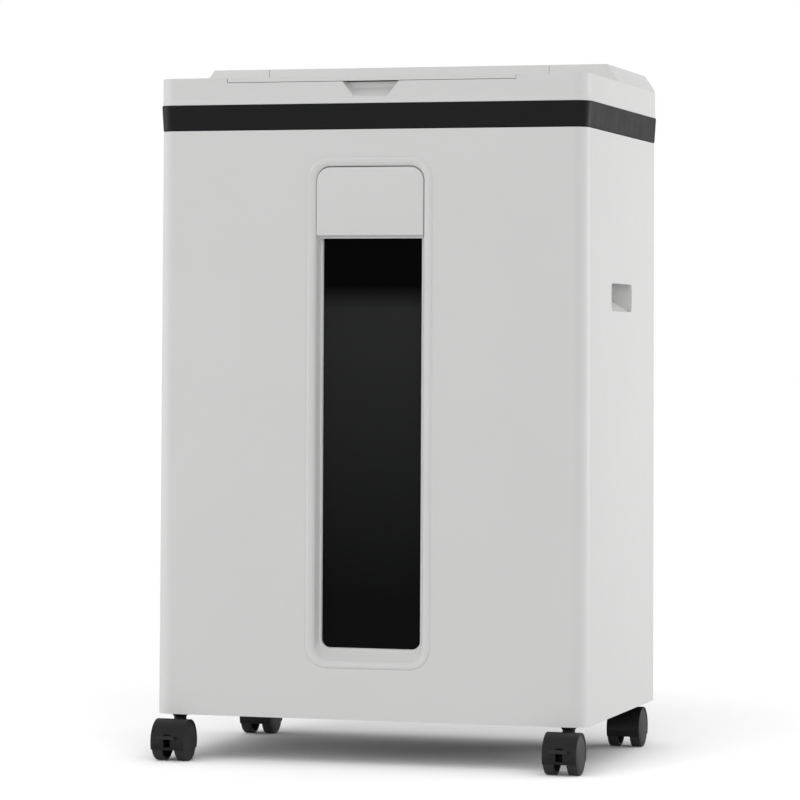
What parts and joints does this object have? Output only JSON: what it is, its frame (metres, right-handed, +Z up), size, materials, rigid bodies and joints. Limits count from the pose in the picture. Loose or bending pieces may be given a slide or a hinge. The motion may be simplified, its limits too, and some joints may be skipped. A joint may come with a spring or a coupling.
{
  "type": "paper shredder",
  "caption": "Office paper shredder on swivel casters: white cabinet, black band, pull-out bin with a smoked window, cutting block and stack tray under a hinged lid.",
  "frame": {"origin": "on the floor, at the centre of the footprint between the front casters' pedals and the back of the band", "axes": "+Z up, front of the shredder towards -Y, +X to the right seen from the front"},
  "size_m": [0.4294, 0.3298, 0.6789],
  "materials": {
    "white_shell": "fine moulded satin",
    "black_trim": "satin black",
    "base_black": "fine moulded matt",
    "smoked_window": "smoked, polished",
    "grey_tub": "moulded matt",
    "sheet_steel": "zinc-plated sheet",
    "cutter_steel": "machined, oiled",
    "bright_steel": "bright",
    "gear_steel": "sintered",
    "gear_nylon": "natural nylon",
    "bush_bronze": "oil-filled bronze",
    "roller_rubber": "ground rubber",
    "motor_paint": "satin",
    "board_green": "solder mask",
    "lens_clear": "polished",
    "button_green": "satin",
    "button_red": "satin",
    "button_grey": "satin",
    "rocker_red": "polished",
    "caster_nylon": "moulded nylon",
    "caster_tread": "moulded nylon"
  },
  "bodies": {
    "cabinet": {"base_pan": "base_black", "left_side_panel": "white_shell", "right_side_panel": "white_shell", "back_panel": "white_shell", "hand_holds": "white_shell", "machine_deck": "sheet_steel", "trim_band": "black_trim", "head_cover": "white_shell", "stack_tray": "grey_tub", "control_panel": "black_trim", "indicator_lens": "lens_clear", "control_board": "board_green", "power_inlet": "base_black", "motor": "motor_paint", "cutter_side_plates": "sheet_steel", "tie_rods": "bright_steel", "stripper_combs": "cutter_steel", "shaft_bushes": "bush_bronze", "panel_screws": "bright_steel", "interlock_switches": "base_black", "bin_runners": "grey_tub", "lid_hinge_pins": "bright_steel"},
    "lid": {"lid": "white_shell"},
    "start_button": {"start_button": "button_green"},
    "stop_button": {"stop_button": "button_red"},
    "reverse_button": {"reverse_button": "button_grey"},
    "power_rocker": {"power_rocker": "rocker_red"},
    "rear_cutter": {"rear_cutter": "cutter_steel", "rear_sync_gear": "gear_steel", "drive_gear": "gear_nylon"},
    "front_cutter": {"front_cutter": "cutter_steel", "front_sync_gear": "gear_steel"},
    "reduction_gear": {"reduction_gear": "gear_nylon"},
    "motor_pinion": {"motor_pinion": "gear_steel"},
    "feed_idler": {"feed_idler": "gear_nylon"},
    "feed_roller": {"feed_shaft": "bright_steel", "feed_rollers": "roller_rubber", "feed_gear": "gear_nylon"},
    "bin": {"bin_tub": "grey_tub", "bin_front_panel": "white_shell", "bin_window": "smoked_window", "grip_panel": "white_shell"},
    "caster_fl": {"caster_fl_hood": "caster_nylon", "caster_fl_pins": "bright_steel"},
    "caster_fl_wheel_l": {"caster_fl_wheel_l": "caster_tread"},
    "caster_fl_wheel_r": {"caster_fl_wheel_r": "caster_tread"},
    "caster_fl_brake": {"caster_fl_brake": "caster_nylon"},
    "caster_fr": {"caster_fr_hood": "caster_nylon", "caster_fr_pins": "bright_steel"},
    "caster_fr_wheel_l": {"caster_fr_wheel_l": "caster_tread"},
    "caster_fr_wheel_r": {"caster_fr_wheel_r": "caster_tread"},
    "caster_fr_brake": {"caster_fr_brake": "caster_nylon"},
    "caster_rl": {"caster_rl_hood": "caster_nylon", "caster_rl_pins": "bright_steel"},
    "caster_rl_wheel_l": {"caster_rl_wheel_l": "caster_tread"},
    "caster_rl_wheel_r": {"caster_rl_wheel_r": "caster_tread"},
    "caster_rr": {"caster_rr_hood": "caster_nylon", "caster_rr_pins": "bright_steel"},
    "caster_rr_wheel_l": {"caster_rr_wheel_l": "caster_tread"},
    "caster_rr_wheel_r": {"caster_rr_wheel_r": "caster_tread"}
  },
  "joints": [
    {"name": "lid_hinge", "type": "hinge", "parent": "cabinet", "child": "lid", "pos_m": [0, 0.13175, 0.6705], "axis": [-1, 0, 0], "range_deg": [0, 82]},
    {"name": "bin_slide", "type": "slide", "parent": "cabinet", "child": "bin", "axis": [0, -1, 0], "range_m": [0, 0.26]},
    {"name": "start_press", "type": "slide", "parent": "cabinet", "child": "start_button", "axis": [0, 0, -1], "range_m": [0, 0.0012], "stiffness_N_per_m": 600, "springref_m": -0.0004},
    {"name": "stop_press", "type": "slide", "parent": "cabinet", "child": "stop_button", "axis": [0, 0, -1], "range_m": [0, 0.0012], "stiffness_N_per_m": 600, "springref_m": -0.0004},
    {"name": "reverse_press", "type": "slide", "parent": "cabinet", "child": "reverse_button", "axis": [0, 0, -1], "range_m": [0, 0.0012], "stiffness_N_per_m": 600, "springref_m": -0.0004},
    {"name": "power_switch", "type": "hinge", "parent": "cabinet", "child": "power_rocker", "pos_m": [-0.14, 0.15875, 0.571], "axis": [-1, 0, 0], "range_deg": [0, 18]},
    {"name": "rear_cutter_spin", "type": "hinge", "parent": "cabinet", "child": "rear_cutter", "pos_m": [0, 0.03025, 0.54], "axis": [1, 0, 0], "continuous": true},
    {"name": "front_cutter_spin", "type": "hinge", "parent": "cabinet", "child": "front_cutter", "pos_m": [0, -0.00275, 0.54], "axis": [1, 0, 0], "continuous": true},
    {"name": "reduction_spin", "type": "hinge", "parent": "cabinet", "child": "reduction_gear", "pos_m": [0, 0.07752, 0.54834], "axis": [1, 0, 0], "continuous": true},
    {"name": "pinion_spin", "type": "hinge", "parent": "cabinet", "child": "motor_pinion", "pos_m": [0, 0.11954, 0.53708], "axis": [1, 0, 0], "continuous": true},
    {"name": "idler_spin", "type": "hinge", "parent": "cabinet", "child": "feed_idler", "pos_m": [0, -0.01853, 0.56191], "axis": [1, 0, 0], "continuous": true},
    {"name": "feed_spin", "type": "hinge", "parent": "cabinet", "child": "feed_roller", "pos_m": [0, -0.01425, 0.584], "axis": [1, 0, 0], "continuous": true},
    {"name": "caster_fl_swivel", "type": "hinge", "parent": "cabinet", "child": "caster_fl", "pos_m": [-0.1947, -0.12045, 0.0445], "axis": [0, 0, 1], "continuous": true},
    {"name": "caster_fl_wheel_l_spin", "type": "hinge", "parent": "caster_fl", "child": "caster_fl_wheel_l", "pos_m": [-0.1947, -0.13895, 0.01925], "axis": [1, 0, 0], "continuous": true},
    {"name": "caster_fl_wheel_r_spin", "type": "hinge", "parent": "caster_fl", "child": "caster_fl_wheel_r", "pos_m": [-0.1947, -0.13895, 0.01925], "axis": [1, 0, 0], "continuous": true},
    {"name": "caster_fl_brake_press", "type": "hinge", "parent": "caster_fl", "child": "caster_fl_brake", "pos_m": [-0.1947, -0.14795, 0.02325], "axis": [1, 0, 0], "range_deg": [0, 14]},
    {"name": "caster_fr_swivel", "type": "hinge", "parent": "cabinet", "child": "caster_fr", "pos_m": [0.1947, -0.12045, 0.0445], "axis": [0, 0, 1], "continuous": true},
    {"name": "caster_fr_wheel_l_spin", "type": "hinge", "parent": "caster_fr", "child": "caster_fr_wheel_l", "pos_m": [0.1947, -0.13895, 0.01925], "axis": [1, 0, 0], "continuous": true},
    {"name": "caster_fr_wheel_r_spin", "type": "hinge", "parent": "caster_fr", "child": "caster_fr_wheel_r", "pos_m": [0.1947, -0.13895, 0.01925], "axis": [1, 0, 0], "continuous": true},
    {"name": "caster_fr_brake_press", "type": "hinge", "parent": "caster_fr", "child": "caster_fr_brake", "pos_m": [0.1947, -0.14795, 0.02325], "axis": [1, 0, 0], "range_deg": [0, 14]},
    {"name": "caster_rl_swivel", "type": "hinge", "parent": "cabinet", "child": "caster_rl", "pos_m": [-0.1947, 0.14795, 0.0445], "axis": [0, 0, 1], "continuous": true},
    {"name": "caster_rl_wheel_l_spin", "type": "hinge", "parent": "caster_rl", "child": "caster_rl_wheel_l", "pos_m": [-0.1947, 0.12945, 0.01925], "axis": [1, 0, 0], "continuous": true},
    {"name": "caster_rl_wheel_r_spin", "type": "hinge", "parent": "caster_rl", "child": "caster_rl_wheel_r", "pos_m": [-0.1947, 0.12945, 0.01925], "axis": [1, 0, 0], "continuous": true},
    {"name": "caster_rr_swivel", "type": "hinge", "parent": "cabinet", "child": "caster_rr", "pos_m": [0.1947, 0.14795, 0.0445], "axis": [0, 0, 1], "continuous": true},
    {"name": "caster_rr_wheel_l_spin", "type": "hinge", "parent": "caster_rr", "child": "caster_rr_wheel_l", "pos_m": [0.1947, 0.12945, 0.01925], "axis": [1, 0, 0], "continuous": true},
    {"name": "caster_rr_wheel_r_spin", "type": "hinge", "parent": "caster_rr", "child": "caster_rr_wheel_r", "pos_m": [0.1947, 0.12945, 0.01925], "axis": [1, 0, 0], "continuous": true}
  ],
  "couplings": [
    {"joint": "front_cutter_spin", "follows": "rear_cutter_spin", "ratio": -1},
    {"joint": "reduction_spin", "follows": "rear_cutter_spin", "ratio": -3},
    {"joint": "pinion_spin", "follows": "rear_cutter_spin", "ratio": 9.4286},
    {"joint": "idler_spin", "follows": "rear_cutter_spin", "ratio": 1.5714},
    {"joint": "feed_spin", "follows": "rear_cutter_spin", "ratio": -1.375}
  ]
}
